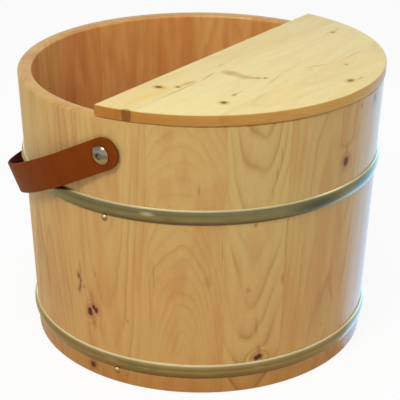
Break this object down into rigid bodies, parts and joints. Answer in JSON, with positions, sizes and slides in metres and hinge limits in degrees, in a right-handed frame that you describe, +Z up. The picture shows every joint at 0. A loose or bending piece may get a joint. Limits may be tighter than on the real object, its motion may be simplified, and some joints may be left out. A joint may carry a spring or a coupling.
{
  "type": "wooden foot bath",
  "caption": "Tapered wooden foot bath tub of upright staves with two steel hoops, a loose half lid and a swinging leather carry strap.",
  "frame": {"origin": "centre of the tub's foot plane, on the tub's axis", "axes": "+Z up along the tub's axis; Y along the line through both handle screws; the half lid covers the +X side and the strap lies down on the -X side"},
  "size_m": [0.4133, 0.4152, 0.3178],
  "materials": {
    "stave_wood": "clear gloss lacquer on softwood",
    "bottom_wood": "clear lacquer on softwood",
    "lid_wood": "clear satin lacquer on pale softwood",
    "bamboo": "bare turned bamboo",
    "hoop_steel": "polished stainless band",
    "nail_steel": "plated domed nail",
    "washer_steel": "plain steel washer",
    "screw_chrome": "bright chrome plate",
    "leather": "saddle brown, burnished edges"
  },
  "bodies": {
    "root": {"stave_01": "stave_wood", "stave_02": "stave_wood", "stave_03": "stave_wood", "stave_04": "stave_wood", "stave_05": "stave_wood", "stave_06": "stave_wood", "stave_07": "stave_wood", "stave_08": "stave_wood", "stave_09": "stave_wood", "stave_10": "stave_wood", "stave_11": "stave_wood", "stave_12": "stave_wood", "stave_13": "stave_wood", "stave_14": "stave_wood", "stave_15": "stave_wood", "stave_16": "stave_wood", "stave_17": "stave_wood", "stave_18": "stave_wood", "bottom_board_1": "bottom_wood", "bottom_board_2": "bottom_wood", "bottom_board_3": "bottom_wood", "bottom_board_4": "bottom_wood", "lid_board_1": "lid_wood", "lid_board_2": "lid_wood", "lid_board_3": "lid_wood", "stave_pegs": "bamboo", "bottom_pegs": "bamboo", "lid_pegs": "bamboo", "upper_hoop": "hoop_steel", "lower_hoop": "hoop_steel", "upper_hoop_nails": "nail_steel", "lower_hoop_nails": "nail_steel", "near_handle_screw": "screw_chrome", "near_cap_nut": "screw_chrome", "near_washer": "washer_steel", "far_handle_screw": "screw_chrome", "far_cap_nut": "screw_chrome", "far_washer": "washer_steel"},
    "handle": {"carry_strap": "leather"}
  },
  "joints": [
    {"name": "handle_swing", "type": "hinge", "parent": "root", "child": "handle", "pos_m": [0, 0, 0.2668], "axis": [0, 1, 0], "range_deg": [0, 234]}
  ]
}
